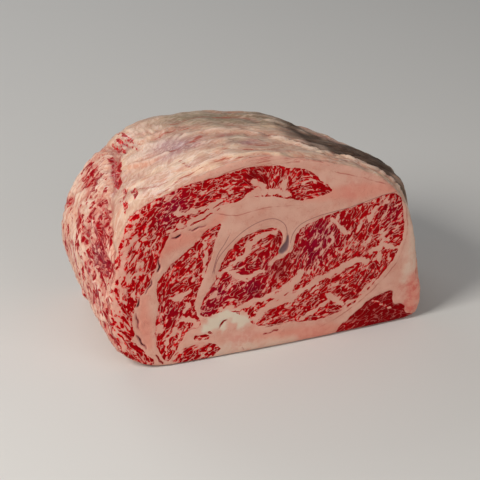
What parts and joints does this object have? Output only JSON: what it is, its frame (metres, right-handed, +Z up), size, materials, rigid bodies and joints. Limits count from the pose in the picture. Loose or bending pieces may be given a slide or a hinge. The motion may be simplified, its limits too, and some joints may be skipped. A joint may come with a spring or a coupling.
{
  "type": "raw beef rib roast",
  "caption": "Boneless raw rib roast of heavily marbled beef, domed block with flat cut ends, a rounded fat cap and a flat underside to rest on.",
  "frame": {"origin": "centre of the footprint, on the surface that the roast rests on", "axes": "+X across the front cut face towards the fat flank, +Y from the front cut face to the back cut face, +Z up"},
  "size_m": [0.2238, 0.135, 0.1385],
  "materials": {
    "raw_beef": "moist raw beef: cherry red lean marbled with cream fat, pale pink-cream fat cap"
  },
  "bodies": {
    "root": {"rib_roast": "raw_beef"}
  },
  "joints": []
}
